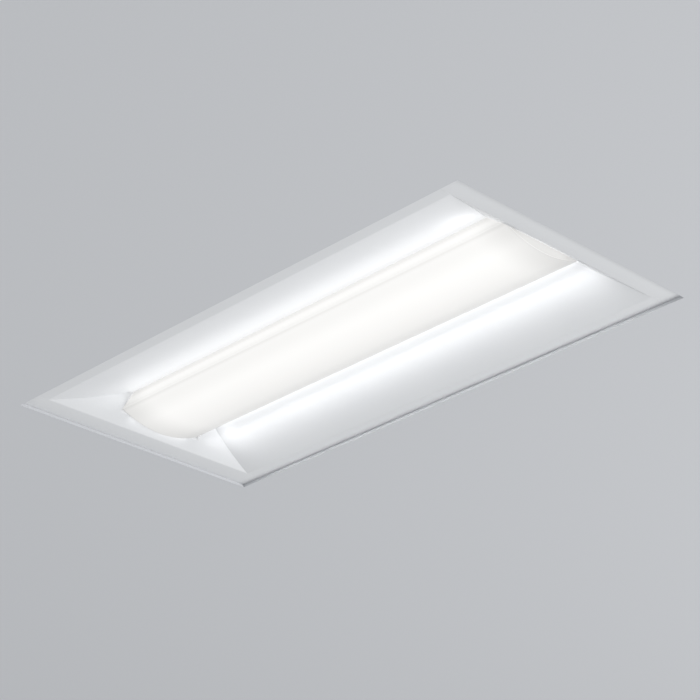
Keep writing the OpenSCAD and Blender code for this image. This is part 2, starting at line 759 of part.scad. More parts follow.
module end_plate(end) {
    half_outline = [
        [wall_y, sheet_t], [wall_y, wall_h], [wall_y - shoulder_w, wall_h],
        [channel_y, roof_h], [channel_y, channel_h]
    ];
    inside = plate_x - sheet_t;
    foot_y = wall_y - flange_w - 2;
    color(steel) on_end(end) difference() {
        union() {
            along_x(inside, plate_x) polygon(both_sides(half_outline));
            translate([inside - flange_w, -foot_y, sheet_t]) cube([flange_w, 2 * foot_y, sheet_t]);
            translate([inside - flange_w, -channel_y + 4, channel_h - 2 * sheet_t])
                cube([flange_w, channel_w - 8, sheet_t]);
            for (s = [near, far]) on_side(s) translate([inside - flange_w, wall_y - 2 * sheet_t, 3])
                cube([flange_w, sheet_t, wall_h - 6]);
        }
        for (y = plate_screw_y)
            translate([plate_screw_x, y, channel_h - drill]) cylinder(r = screw_r, h = 2 * drill);
        for (s = [near, far]) translate([corner_rivet_x, s * wall_y, corner_rivet_z])
            rotate([-90 * s, 0, 0]) translate([0, 0, -drill]) cylinder(r = rivet_r, h = 2 * drill);
        for (y = end_rivet_y) translate([inside - little, y, rivet_z]) bar_x(rivet_r, drill);
        if (end == right) {
            translate([inside - little, -knockout_y, knockout_z]) bar_x(knockout_r, sheet_t + 2 * little);
            translate([inside - drill / 2, knockout_y, knockout_z]) knockout_cut_line();
        } else {
            for (y = [-knockout_y, knockout_y])
                translate([inside - drill / 2, y, knockout_z]) knockout_cut_line();
        }
    }
}

// Access cover: a plate over the wiring opening, a knuckle on the hinge pin and a tongue in the opening

cover_l = access_l + 2 * cover_lap;
cover_w = access_w + 2 * cover_lap;

module access_cover() {
    color(steel) difference() {
        union() {
            translate([access_x - cover_l / 2, -cover_w / 2, cover_z]) cube([cover_l, cover_w, sheet_t]);
            translate([access_x - knuckle_x, hinge_y, cover_z]) cube([2 * knuckle_x, cover_lap, sheet_t]);
            translate([access_x - knuckle_x, hinge_y, hinge_z]) bar_x(knuckle_r, 2 * knuckle_x);
            translate([access_x - tongue_w / 2, access_w / 2 - tongue_gap - sheet_t, cover_z - tongue_h])
                cube([tongue_w, sheet_t, tongue_h + sheet_t / 2]);
        }
        translate([access_x - knuckle_x - little, hinge_y, hinge_z])
            bar_x(hinge_pin_r + running_gap, 2 * (knuckle_x + little));
    }
}

module access_hinge_pin() {
    color(steel) translate([access_x - knuckle_x - body_gap - lug_l, hinge_y, hinge_z])
        bar_x(hinge_pin_r, 2 * (knuckle_x + body_gap + lug_l));
}

// Grid clips: flat arms that swing out from the shoulders over the ceiling frame

module grid_clip(end, side) {
    color(steel) on_end(end) on_side(side) translate([clip_x, shoulder_y, clip_z]) difference() {
        union() {
            cylinder(r = clip_w / 2, h = clip_t);
            translate([-clip_reach, -clip_w / 2, 0]) cube([clip_reach, clip_w, clip_t]);
            translate([-clip_reach, -clip_w / 2, 0]) cube([clip_t, clip_w, clip_tab_h]);
        }
        translate([0, 0, -little]) cylinder(r = clip_rivet_r + running_gap, h = clip_t + 2 * little);
    }
}

module grid_clip_rivets() {
    color(steel) for (e = [left, right]) for (s = [near, far])
        translate([e * clip_x, s * shoulder_y, clip_z + clip_t + body_gap])
            rivet(clip_t + 2 * body_gap + sheet_t, clip_rivet_r, clip_head_r, clip_head_h);
}

// Fasteners that hold the fixed pieces together

module tray_screws() {
    color(steel) for (x = tray_screw_x) for (s = [near, far])
        translate([x, s * (channel_y + sheet_t), tray_screw_z])
            rotate([90 * s, 0, 0]) screw(3 * sheet_t + fit_gap + screw_tip);
}

module side_rivets() {
    color(steel) for (s = [near, far]) {
        for (x = side_rivet_x) translate([x, s * half_w - s * sheet_t, rivet_z])
            rotate([-90 * s, 0, 0]) flush_rivet();
        for (e = [left, right]) translate([e * corner_rivet_x, s * wall_y, corner_rivet_z])
            rotate([-90 * s, 0, 0]) rivet(2 * sheet_t);
    }
}

// A countersunk rivet whose outer end is flush with the lip
module flush_rivet() {
    translate([0, 0, -sheet_t - fit_gap]) cylinder(r = rivet_r, h = 2 * sheet_t + fit_gap);
    translate([0, 0, -sheet_t - fit_gap - rivet_head_h]) cylinder(r = rivet_head_r, h = rivet_head_h);
}

module end_rivets() {
    color(steel) for (e = [left, right]) on_end(e) for (y = end_rivet_y)
        translate([half_l - sheet_t, y, rivet_z]) rotate([0, 90, 0]) flush_rivet();
}

module channel_rivets() {
    color(steel) for (s = [near, far]) for (x = channel_rivet_x)
        translate([x, s * (channel_y + sheet_t), channel_rivet_z])
            rotate([-90 * s, 0, 0]) rivet(2 * sheet_t);
}

module end_plate_screws() {
    color(steel) for (e = [left, right]) for (y = plate_screw_y)
        translate([e * plate_screw_x, y, channel_h]) mirror([0, 0, 1]) screw(2 * sheet_t + screw_tip);
}

side_reflector(near);  // side_reflector_near
side_reflector(far);  // side_reflector_far
end_reflector(left);  // end_reflector_left
end_reflector(right);  // end_reflector_right
lens_diffuser();
lens_end_cap(left);  // lens_end_cap_left
lens_end_cap(right);  // lens_end_cap_right
pivot_bracket(left);  // pivot_bracket_left
pivot_bracket(right);  // pivot_bracket_right
lens_catch(left);  // lens_catch_left
lens_catch(right);  // lens_catch_right
bracket_rivets();
led_tray();
led_board(left, near);  // led_board_1
led_board(right, near);  // led_board_2
led_board(left, far);  // led_board_3
led_board(right, far);  // led_board_4
led_board_screws();
board_connectors();
board_jumpers();
tray_grommet();
driver_base();
driver_can();
driver_input_terminal();
driver_output_terminal();
driver_screws();
line_lead();
neutral_lead();
ground_lead();
output_lead_near();
output_lead_far();
supply_connectors();
ground_screw();
housing_channel();
housing_side(near);  // housing_side_near
housing_side(far);  // housing_side_far
end_plate(left);  // end_plate_left
end_plate(right);  // end_plate_right
access_cover();
access_hinge_pin();
grid_clip(left, near);  // grid_clip_left_near
grid_clip(left, far);  // grid_clip_left_far
grid_clip(right, near);  // grid_clip_right_near
grid_clip(right, far);  // grid_clip_right_far
grid_clip_rivets();
tray_screws();
side_rivets();
end_rivets();
channel_rivets();
end_plate_screws();
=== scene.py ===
# %% [markdown]
# # A recessed troffer light, seen from below
#
# A troffer light is let in flush overhead. From below it shows a flat white band all round, four
# sloped white reflectors and a long frosted lens that bows down in the middle. Everything else, the
# steel housing, the tray with its LED boards, the driver and its leads, is above them.
#
# The shapes with real sizes come packed from CAD. This script loads them, never moves them, and gives
# them their looks. Where a CAD shape is too plain for a close look, a finer piece takes its place.
# All of it could be one dressed-up mesh, but separate pieces on their own bodies can swing and open.

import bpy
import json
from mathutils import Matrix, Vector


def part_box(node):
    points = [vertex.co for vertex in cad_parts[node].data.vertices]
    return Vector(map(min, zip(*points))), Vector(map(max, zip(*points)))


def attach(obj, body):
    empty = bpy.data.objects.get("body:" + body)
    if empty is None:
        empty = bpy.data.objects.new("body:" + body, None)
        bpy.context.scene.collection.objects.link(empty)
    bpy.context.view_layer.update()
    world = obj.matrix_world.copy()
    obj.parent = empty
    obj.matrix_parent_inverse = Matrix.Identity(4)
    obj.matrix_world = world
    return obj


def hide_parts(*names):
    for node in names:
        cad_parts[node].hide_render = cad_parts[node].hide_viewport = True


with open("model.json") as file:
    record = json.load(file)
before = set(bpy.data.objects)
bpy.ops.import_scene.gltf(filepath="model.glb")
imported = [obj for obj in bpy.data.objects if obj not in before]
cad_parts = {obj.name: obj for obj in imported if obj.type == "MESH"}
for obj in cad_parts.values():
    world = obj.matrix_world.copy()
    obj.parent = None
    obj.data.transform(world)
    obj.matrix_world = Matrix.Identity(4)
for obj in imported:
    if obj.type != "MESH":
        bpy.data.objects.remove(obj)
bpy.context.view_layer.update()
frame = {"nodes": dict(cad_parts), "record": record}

# %% [markdown]
# ## Working in millimetres
#
# Sheet-metal drawings are in millimetres and Blender is in metres. The conversion could be typed into
# every number, but it is easier to read when all helpers take millimetres and one place scales them.
# The sizes below are those of the part's source, with X along the light, Y across it and Z up.

# %% Sizes shared by several pieces
import json
import math

import bmesh
import bpy
from mathutils import Matrix, Vector
from mathutils.geometry import interpolate_bezier

MM = 0.001
LEFT, RIGHT, NEAR, FAR = -1, 1, -1, 1

half_l, half_w = 606.5, 301.5      # the flange's outside
open_l, open_w = 554.5, 264.5      # the light opening inside its bands
lip_h, lean = 12.0, 0.1            # the flange's turned-up lip, and how far its edge leans in
sheet_t = 0.8                      # painted sheet
inner_y, recess_h = 101.5, 48.8    # inner edge of the side reflectors
tray_h = 60.0                      # underside of the LED tray
end_run = 67.5                     # run of the sloped end panels
bow = 2.0                          # how far a side reflector bows down
leg_y, crease_h, leg_top = 99.5, 24.8, 50.4
lens_clear, lens_t = 0.8, 2.0
lens_end, cap_t = 528.0, 2.0
stud_y, catch_y = 90.0, 66.0       # the near studs pivot, and the far ones are held by the catches
stud_h, stud_r, stud_l = 28.0, 2.0, 6.0

arc_rise = crease_h - lens_clear
arc_r = (leg_y**2 + arc_rise**2) / (2 * arc_rise)
print(f"the lens bows {arc_rise:.1f} mm over {2 * leg_y:.0f} mm, a radius of {arc_r:.1f} mm")

# %% [markdown]
# ## The camera
#
# A light like this is photographed from the floor, so the camera stands below it, to one side, and
# looks up along it. The place and lens below come from fitting the corners of the flange,
# the opening and the lens to the photograph's frame. A camera can be aimed with a Track To constraint,
# but three axes written as a matrix say exactly where it looks, with no roll left to chance.

# %% Camera
scene = bpy.context.scene
ahead = Vector((-0.64325, 0.61899, 0.45064)).normalized()
aside = ahead.cross(Vector((0, 0, 1))).normalized()
upward = aside.cross(ahead)

camera_data = bpy.data.cameras.new("camera")
camera_data.sensor_width = 36.0
camera_data.lens = 116.28
camera = bpy.data.objects.new("camera", camera_data)
scene.collection.objects.link(camera)
camera.matrix_world = Matrix.Translation((2.7929, -2.6521, -1.9424)) @ Matrix(
    (aside, upward, -ahead)
).transposed().to_4x4()
scene.camera = camera
print(f"the camera is {camera.location.length:.2f} m from the light's middle")

# %% [markdown]
# ## Shader maths that reads like arithmetic
#
# A material is a small network of nodes. Building one by hand means naming every node and every link,
# which hides the idea behind the wiring. Here one class wraps a node's output, so that `1 - mask` or
# `mottle * 0.2 + 0.4` adds the Math nodes by itself, and one method adds any other node in one line:
# its type, its settings, and the values or wires of its sockets.


# %% A wire of a material's node tree
class Wire:
    """One output of a material's nodes. Arithmetic on it adds Math nodes."""

    def __init__(self, finish, socket):
        self.finish, self.socket = finish, socket

    def maths(self, operation, first, second):
        return self.finish.node("Math", {"operation": operation}, {0: first, 1: second})

    def __add__(self, other):
        return self.maths("ADD", self, other)

    def __sub__(self, other):
        return self.maths("SUBTRACT", self, other)

    def __rsub__(self, other):
        return self.maths("SUBTRACT", other, self)

    def __mul__(self, other):
        return self.maths("MULTIPLY", self, other)

    __radd__, __rmul__ = __add__, __mul__


# %% A finish, which adds nodes
class Finish:
    """A material under construction."""

    def __init__(self, name):
        self.material = bpy.data.materials.new(name)
        self.material.use_nodes = True
        self.tree = self.material.node_tree
        self.tree.nodes.clear()

    def node(self, kind, settings=None, inputs=None, output=0):
        """Adds a node with its settings first, then its inputs, and gives one output as a wire."""
        made = self.tree.nodes.new("ShaderNode" + kind)
        for key, value in (settings or {}).items():
            if key == "stops":
                ramp = made.color_ramp
                while len(ramp.elements) < len(value):
                    ramp.elements.new(0.5)
                for element, (place, colour) in zip(ramp.elements, value):
                    element.position, element.color = place, (*colour, 1)
            else:
                setattr(made, key, value)
        for key, value in (inputs or {}).items():
            if isinstance(value, Wire):
                self.tree.links.new(value.socket, made.inputs[key])
            else:
                made.inputs[key].default_value = value
        return Wire(self, made.outputs[output])

    def place(self):
        """The point on the object, in metres from the light's middle."""
        return self.node("TexCoord", output="Object")

    def noise(self, per_metre, detail, stretch=(1, 1, 1), rough=0.5):
        """Cloudy values round 0.5, with about per_metre clouds to the metre."""
        stretched = self.node("Mapping", None, {"Vector": self.place(), "Scale": stretch})
        inputs = {"Vector": stretched, "Scale": per_metre, "Detail": detail, "Roughness": rough}
        return self.node("TexNoise", None, inputs)

    def distance(self, axis):
        """How far the point is from the light's middle along one axis, in metres."""
        along = self.node("SeparateXYZ", None, {0: self.place()}, axis)
        return self.node("Math", {"operation": "ABSOLUTE"}, {0: along})

    def ramp(self, value, start, stop, first, last):
        """A smooth change from first to last while a distance goes from start to stop, in mm."""
        reach = {"Value": value, "From Min": start * MM, "From Max": stop * MM}
        inputs = {**reach, "To Min": first, "To Max": last}
        return self.node("MapRange", {"interpolation_type": "SMOOTHSTEP"}, inputs)

    def mix(self, share, first, second):
        """A colour between two colours."""
        settings = {"data_type": "RGBA", "clamp_factor": True}
        return self.node("Mix", settings, {0: share, 6: first, 7: second}, output=2)

    def bump(self, height, metres, strength):
        inputs = {"Height": height, "Distance": metres, "Strength": strength}
        return self.node("Bump", None, inputs, "Normal")

    def surface(self, **values):
        """Closes the material with a Principled shader, whose sockets are named with underscores."""
        named = {key.replace("_", " "): value for key, value in values.items()}
        shader = self.node("BsdfPrincipled", None, named)
        sink = self.tree.nodes.new("ShaderNodeOutputMaterial")
        self.tree.links.new(shader.socket, sink.inputs["Surface"])
        return self.material


# %% [markdown]
# ## White baked enamel
#
# The band, the reflectors and the tray are steel sheet with a sprayed and baked white coat. It is not
# flat white: the sprayed coat has a very fine orange peel, seen as a soft break-up of the highlights,
# and its whiteness drifts a little over a hand's width. A texture image could carry that, but noise in
# the object's own coordinates has no seams and stays with the piece when it moves.


# %% White enamel
def white_enamel():
    paint = Finish("white_enamel")
    drift = paint.noise(7, detail=2)
    speck = paint.noise(240, detail=3, rough=0.6)
    peel = paint.noise(700, detail=1)
    tone = paint.mix(drift, (0.775, 0.785, 0.800, 1), (0.805, 0.813, 0.825, 1))
    fine = paint.mix(speck * 0.10, tone, (0.71, 0.72, 0.73, 1))
    return paint.surface(
        Base_Color=fine,
        Roughness=0.36 + speck * 0.10 + drift * 0.04,
        IOR=1.5,
        Normal=paint.bump(peel, 0.00006, 0.5),
    )


# %% [markdown]
# ## The frosted lens
#
# The lens is extruded acrylic with a fine matt face. Lit by the boards behind it, it looks like an even
# sheet of light that fades over the last few centimetres, where there are no more LEDs behind it, and
# at a shallow angle its skin reflects the room and looks darker. Its glow is painted dimmer towards the
# creases, away from the LED rows, with painted darker lines of shade along the creases and round each
# end, and painted darker towards the top of each leg, where it meets the reflector, so each leg is
# brightest halfway up. Real translucency would need many more samples for the same picture, so the glow
# is emission, and a clear coat above it does the darkening.


# %% Lens acrylic
def lens_acrylic(glow=1.61, tint=(1.0, 0.992, 0.975)):
    acrylic = Finish("lens_acrylic")
    along, across, height = (acrylic.distance(axis) for axis in "XYZ")
    lit = acrylic.ramp(along, lens_end - 90, lens_end + 6, 1.0, 0.80)
    # Painted shade: a thin darker line of glow round each end of the lens
    rim = acrylic.ramp(along, lens_end - 5.5, lens_end - 0.5, 0.0, 0.07)
    # Painted shade: the glow dims towards the creases, away from the LED rows, and is darker along each
    # crease
    face = acrylic.ramp(across, 40, 85, 0.0, 0.10) + acrylic.ramp(across, 91, 97, 0.0, 0.085)
    # Painted shade: each leg glows darker at its foot and towards its top, where it meets the reflector
    leg = acrylic.ramp(height, 26, 34, 0.12, 0.04) + acrylic.ramp(height, 37, 48, 0.0, 0.14)
    on_leg = acrylic.ramp(across, leg_y - 1.5, leg_y - 0.2, 0.0, 1.0)
    dimmed = face * (1 - on_leg) + leg * on_leg
    cloud = acrylic.noise(9, detail=1)
    frost = acrylic.noise(1400, detail=1)
    shine = (lit - rim - cloud * 0.02) * (1 - dimmed)
    return acrylic.surface(
        Base_Color=acrylic.mix(cloud, (0.29, 0.29, 0.285, 1), (0.31, 0.31, 0.305, 1)),
        Roughness=0.42 + frost * 0.10,
        Coat_Weight=1.0,
        Coat_Roughness=0.32,
        Coat_IOR=1.15,
        Coat_Tint=(0.66, 0.66, 0.66, 1),
        Emission_Color=acrylic.mix(shine, (0, 0, 0, 1), (*tint, 1)),
        Emission_Strength=glow,
        Normal=acrylic.bump(frost, 0.00003, 0.4),
    )


# %% [markdown]
# ## Metals
#
# Three kinds of steel are above the reflectors. The housing is galvanised: hot zinc freezes on it into
# flat crystals, the spangle, each a little lighter or duller than the next, which Voronoi cells show
# well. Small hardware is zinc plated after it is formed, so it is smoother and brighter. The catches
# are blued spring strip, dark and brushed along their length.


# %% Galvanised sheet, zinc plate and spring strip
def galvanised_steel():
    zinc = Finish("galvanised_steel")
    wander = zinc.noise(30, detail=2)
    shifted = {0: wander, 1: (0.02, 0.02, 0.02), 2: zinc.place()}
    place = zinc.node("VectorMath", {"operation": "MULTIPLY_ADD"}, shifted)
    crystals = zinc.node("TexVoronoi", {"feature": "F1"}, {"Vector": place, "Scale": 85.0}, "Color")
    shade = zinc.node("SeparateColor", None, {0: crystals}, "Red")
    scratch = zinc.noise(900, detail=2, stretch=(0.03, 1, 1))
    tone = zinc.mix(shade, (0.50, 0.52, 0.535, 1), (0.66, 0.68, 0.69, 1))
    return zinc.surface(
        Base_Color=zinc.mix(scratch * 0.25, tone, (0.44, 0.45, 0.46, 1)),
        Metallic=0.85,
        Roughness=0.36 + shade * 0.16 + scratch * 0.05,
        Normal=zinc.bump(shade + scratch * 0.3, 0.00003, 0.35),
    )


def plated_steel(name, dark, light, roughness, brushed=(1, 1, 1), metal=1.0):
    plate = Finish(name)
    cloud = plate.noise(60, detail=3)
    grain = plate.noise(1500, detail=2, stretch=brushed)
    return plate.surface(
        Base_Color=plate.mix(cloud * 0.6 + grain * 0.4, dark, light),
        Metallic=metal,
        Roughness=roughness + grain * 0.12,
        Normal=plate.bump(grain, 0.00002, 0.3),
    )


# %% [markdown]
# ## Boards, plastics, rubber and insulation
#
# The boards wear a white solder mask that is glossier than paint and a little uneven. Moulded blocks
# have a satin skin with faint flow marks. Rubber is dull with a fine grain, and a lead's insulation is
# drawn through a die, so its grain runs along it. They differ in colour, gloss and grain size only, so
# one function makes them all.


# %% Moulded and extruded plastics
def plastic(name, colour, roughness=0.35, grain=420, spread=0.07, relief=0.00003):
    resin = Finish(name)
    flow = resin.noise(45, detail=2)
    skin = resin.noise(grain, detail=2)
    darker = tuple(c * (1 - spread) for c in colour)
    lighter = tuple(min(1.0, c * (1 + spread) + 0.004) for c in colour)
    return resin.surface(
        Base_Color=resin.mix(flow * 0.7 + skin * 0.3, (*darker, 1), (*lighter, 1)),
        Roughness=roughness + skin * 0.10,
        Normal=resin.bump(skin, relief, 0.4),
    )


# %% LED phosphor
def phosphor():
    glow = Finish("led_phosphor")
    grain = glow.noise(2600, detail=2)
    return glow.surface(
        Base_Color=glow.mix(grain, (0.86, 0.62, 0.16, 1), (0.95, 0.74, 0.26, 1)),
        Roughness=0.4 + grain * 0.1,
        Emission_Color=glow.mix(grain, (1.0, 0.90, 0.62, 1), (1.0, 0.95, 0.74, 1)),
        Emission_Strength=0.55,
    )


# %% All finishes by name
finishes = {
    "white_enamel": white_enamel(),
    "lens_acrylic": lens_acrylic(),
    "galvanised_steel": galvanised_steel(),
    "zinc_steel": plated_steel("zinc_steel", (0.58, 0.59, 0.61, 1), (0.76, 0.77, 0.78, 1), 0.24),
    "spring_steel": plated_steel(
        "spring_steel", (0.16, 0.18, 0.22, 1), (0.30, 0.33, 0.38, 1), 0.28, brushed=(1, 1, 0.05)
    ),
    "green_steel": plated_steel(
        "green_steel", (0.03, 0.24, 0.08, 1), (0.07, 0.36, 0.14, 1), 0.28, metal=0.7
    ),
    "led_board": plastic("led_board", (0.78, 0.78, 0.75), 0.28, grain=180, spread=0.03),
    "white_plastic": plastic("white_plastic", (0.80, 0.80, 0.77), 0.32, spread=0.03),
    "orange_plastic": plastic("orange_plastic", (0.72, 0.15, 0.02), 0.30),
    "grey_plastic": plastic("grey_plastic", (0.42, 0.43, 0.44), 0.30),
    "grommet_rubber": plastic("grommet_rubber", (0.022, 0.022, 0.022), 0.55, grain=900, spread=0.3),
    "black_lead": plastic("black_lead", (0.018, 0.018, 0.018), 0.38, spread=0.25),
    "white_lead": plastic("white_lead", (0.74, 0.74, 0.70), 0.38, spread=0.04),
    "green_lead": plastic("green_lead", (0.02, 0.20, 0.05), 0.38, spread=0.12),
    "red_lead": plastic("red_lead", (0.42, 0.02, 0.015), 0.38, spread=0.12),
    "blue_lead": plastic("blue_lead", (0.02, 0.05, 0.30), 0.38, spread=0.12),
    "led_phosphor": phosphor(),
    "copper": plated_steel("copper", (0.55, 0.50, 0.44, 1), (0.72, 0.68, 0.62, 1), 0.26),
}
print(len(finishes), "finishes")

# %% [markdown]
# ## From points to pieces
#
# Every piece below is made in the same three steps: its points and faces are worked out in
# millimetres, a mesh object is made of them, and the piece is put on the body it rides on, wearing its
# finish, while the CAD solid it stands for is hidden. Primitive cubes and cylinders would be quicker to
# add, but they leave hard, bare edges that no real part has.


# %% Making and freezing a piece
def make_piece(name, points, faces, finish_name):
    mesh = bpy.data.meshes.new(name)
    mesh.from_pydata([tuple(c * MM for c in point) for point in points], [], faces)
    mesh.materials.append(finishes[finish_name])
    piece = bpy.data.objects.new(name, mesh)
    scene.collection.objects.link(piece)
    return piece


def bevel(piece, width, angle, segments=2):
    """Adds a modifier that rounds the edges sharper than an angle, and gives it back."""
    rounding = piece.modifiers.new("rounding", "BEVEL")
    rounding.width, rounding.segments = width * MM, segments
    rounding.limit_method, rounding.angle_limit = "ANGLE", math.radians(angle)
    return rounding


def freeze(piece, smooth_angle=30):
    """Turns the modifiers' result into the piece's own mesh and shades it smooth up to an angle."""
    depsgraph = bpy.context.evaluated_depsgraph_get()
    mesh = bpy.data.meshes.new_from_object(piece.evaluated_get(depsgraph))
    mesh.name = piece.name
    piece.modifiers.clear()
    piece.data = mesh
    mesh.polygons.foreach_set("use_smooth", [True] * len(mesh.polygons))
    mesh.set_sharp_from_angle(angle=math.radians(smooth_angle))
    return piece


# %% Placing a piece on its body
kept_nodes = set(frame["nodes"])


def settle(piece, body, replaced=()):
    """Puts a finished piece on its body, and hides the CAD nodes that it stands for."""
    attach(piece, body)
    if replaced:
        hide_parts(*replaced)
        kept_nodes.difference_update(replaced)
    return piece


def box_of(piece):
    corners = [vertex.co for vertex in piece.data.vertices]
    return (Vector(min(c[i] for c in corners) for i in range(3)),
            Vector(max(c[i] for c in corners) for i in range(3)))


def compare(piece, node):
    """Prints how far the piece's box is from the box of the CAD node that it stands for, in mm."""
    low, high = box_of(piece)
    cad_low, cad_high = (Vector(corner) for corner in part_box(node))
    off = max(abs(v) for v in (*(low - cad_low), *(high - cad_high))) / MM
    print(f"{piece.name}: {len(piece.data.polygons)} faces, {off:.2f} mm from the CAD box")


# %% [markdown]
# ## Folded sheet
#
# The reflectors are flat sheet folded on a press brake. The model follows that: a surface with sharp
# fold lines, rounded by a bevel to the small radius that a press leaves, then given its thickness by
# Solidify. Extruding a closed outline would also work, but it can't have the slanted ends and the
# notch of these pieces. Each row of the surface is one fold line, and each row has its own length.


# %% Folded sheet from rows of points
def folded_sheet(name, rows, finish_name, bend=0.9, thickness=sheet_t, skip=(), flip=False, segments=3,
                 turned_up=(), rise=0.0):
    """A sheet over rows of points, where None marks a place that a row doesn't reach. The edges in
    turned_up, as pairs of places, get an upright flange of the given rise."""
    points, index, faces = [], {}, []
    for r, row in enumerate(rows):
        for c, point in enumerate(row):
            if point is not None:
                index[r, c] = len(points)
                points.append(point)
    for r in range(len(rows) - 1):
        for c in range(len(rows[r]) - 1):
            corners = [(r, c), (r, c + 1), (r + 1, c + 1), (r + 1, c)]
            if (r, c) not in skip and all(corner in index for corner in corners):
                faces.append([index[corner] for corner in corners])
    raised = {}
    for edge in turned_up:
        for place in edge:
            if place not in raised:
                raised[place] = len(points)
                x, y, z = points[index[place]]
                points.append((x, y, z + rise))
        start, stop = edge
        faces.append([index[start], index[stop], raised[stop], raised[start]])
    if flip:
        faces = [face[::-1] for face in faces]
    piece = make_piece(name, points, faces, finish_name)
    bevel(piece, bend, 8, segments)
    solid = piece.modifiers.new("thickness", "SOLIDIFY")
    solid.thickness, solid.offset, solid.use_even_offset = thickness * MM, -1, True
    return freeze(piece)


# %% [markdown]
# ## Side reflectors
#
# A side reflector is one folded sheet: the lip, the flat band, the slope with its slight downward bow,
# and the upright edge that reaches the tray. Its ends are cut slanting, so that they lie on the end
# panels. The bow is what makes the light fall off smoothly across it, so the slope gets 24 strips.

# %% Side reflectors
slope_steps = 24
end_join = 0.2    # gap between a side reflector and the end panels
slope_l = math.hypot(open_w - inner_y, recess_h)
# Square to the slope, on its hidden side
slope_out = (recess_h / slope_l, (open_w - inner_y) / slope_l)


def slope_point(share):
    """A point of the side slope, from the band at 0 to the inner edge at 1, as (y, z)."""
    sag = 4 * bow * share * (1 - share)
    y = open_w + (inner_y - open_w) * share - slope_out[0] * sag
    return y, max(0.0, recess_h * share - slope_out[1] * sag)


def slope_end(z):
    """Where a sheet at height z of the opening stops, on the slanted end panel."""
    return open_l - end_join - end_run * min(z, recess_h) / recess_h


def side_reflector(side, name, node):
    profile = [(half_w - lean, lip_h), (half_w, 0)]
    profile += [slope_point(i / slope_steps) for i in range(slope_steps + 1)]
    profile += [(inner_y, tray_h)]
    rows = []
    for i, (y, z) in enumerate(profile):
        end = open_l - end_join if i < 2 else slope_end(z)
        rows.append([(x * end, side * y, z) for x in (-1, -0.5, 0, 0.5, 1)])
    piece = folded_sheet(name, rows, "white_enamel", flip=side == NEAR)
    compare(piece, node)
    return settle(piece, "fixture", [node])


for side, word in ((NEAR, "near"), (FAR, "far")):
    side_reflector(side, "reflector_" + word, "side_reflector_" + word)

# %% [markdown]
# ## End panels
#
# An end panel has the wide band, a lip on three sides and a slope with a notch, into which the end of
# the lens drops. The notch's edges are turned up into a collar, so that nobody looks past the lens into
# the dark housing, and a slot lets the far stud swing down. The flat pattern is a grid with some cells
# left out. The slope reaches a little behind the side reflectors, so no light gets through the joint.

# %% End panels
panel_edge, corner_gap = 8.0, 1.0
notch_y, notch_x = 102.5, 529.5
slot_gap = 1.2
top_strip = 1.0   # a narrow strip keeps the slope flat up to its top edge
slope_ratio = recess_h / end_run
collar_h = 9.0


def end_panel(end, name, node):
    slot_low, slot_high = catch_y - stud_r - slot_gap, catch_y + stud_r + slot_gap
    behind = open_w + panel_edge
    lip_w = half_w - corner_gap

    def across(x, z, limit, slotted=True):
        places = (-limit, -notch_y, slot_low, slot_high, notch_y, limit)
        return [(end * x, y, z) if slotted or y not in (slot_low, slot_high) else None for y in places]

    lip_top = end * (half_l - lean)
    rows = [[None, (lip_top, -lip_w, lip_h), *across(half_l - lean, lip_h, behind),
             (lip_top, lip_w, lip_h), None]]
    for x in (half_l, open_l):
        lip_x = x - corner_gap if x == half_l else x
        rows.append([
            (end * lip_x, lean - half_w, lip_h), (end * x, -half_w, 0), *across(x, 0, behind),
            (end * x, half_w, 0), (end * lip_x, half_w - lean, lip_h),
        ])
    top_x = open_l - end_run
    for x in (lens_end + stud_l + slot_gap, notch_x, top_x + top_strip, top_x):
        z = (open_l - x) * slope_ratio
        limit = inner_y + panel_edge + (open_w - inner_y) * (1 - z / recess_h)
        rows.append([None, None, *across(x, z, limit, slotted=x >= notch_x), None, None])
    near_in, near_out, slot_near = (5, 3), (4, 3), (4, 4)
    slot_far, far_out, far_in = (4, 5), (4, 6), (5, 6)
    collar = [(near_in, near_out), (near_out, slot_near), (slot_far, far_out), (far_out, far_in)]
    piece = folded_sheet(
        name, rows, "white_enamel", skip=[(3, 4), (4, 3), (4, 4), (4, 5), (5, 3)], flip=end == RIGHT,
        turned_up=collar, rise=collar_h,
    )
    compare(piece, node)
    return settle(piece, "fixture", [node])


for end, word in ((LEFT, "left"), (RIGHT, "right")):
    end_panel(end, "end_panel_" + word, "end_reflector_" + word)

# %% [markdown]
# ## The lens
#
# The lens is one extrusion: two upright legs and a bowed face between two creases. A die can't make a
# sharp crease, so both are rounded. It is drawn like the folded sheets, with 72 strips for the bow, so
# that its outline against the reflectors stays smooth.

# %% Lens
arc_steps, lens_bend = 72, 2.2


def arc_point(y):
    return y, lens_clear + arc_r - math.sqrt(arc_r**2 - y**2)


def lens_profile():
    """The lens from leg to leg, seen from its end, as (y, z)."""
    face = [arc_point(leg_y * (2 * i / arc_steps - 1)) for i in range(arc_steps + 1)]
    return [(-leg_y, leg_top), *face, (leg_y, leg_top)]


def lens_shell():
    reach = lens_end - cap_t
    rows = [[(reach * x, y, z) for x in (-1, -0.5, 0, 0.5, 1)] for y, z in lens_profile()]
    piece = folded_sheet("lens_shell", rows, "lens_acrylic", lens_bend, lens_t, flip=True, segments=5)
    compare(piece, "lens_diffuser")
    return settle(piece, "lens", ["lens_diffuser"])


lens_shell()

# %% [markdown]
# ## Turned and moulded shapes
#
# Caps, screws, rivets and leads are all rings of points joined by bands of faces. A Spin or Screw
# modifier could make the round ones, but with rings in code one ring can differ from the next: a cross
# in a screw's head, a crest of its thread, or the lens's outline a little smaller.


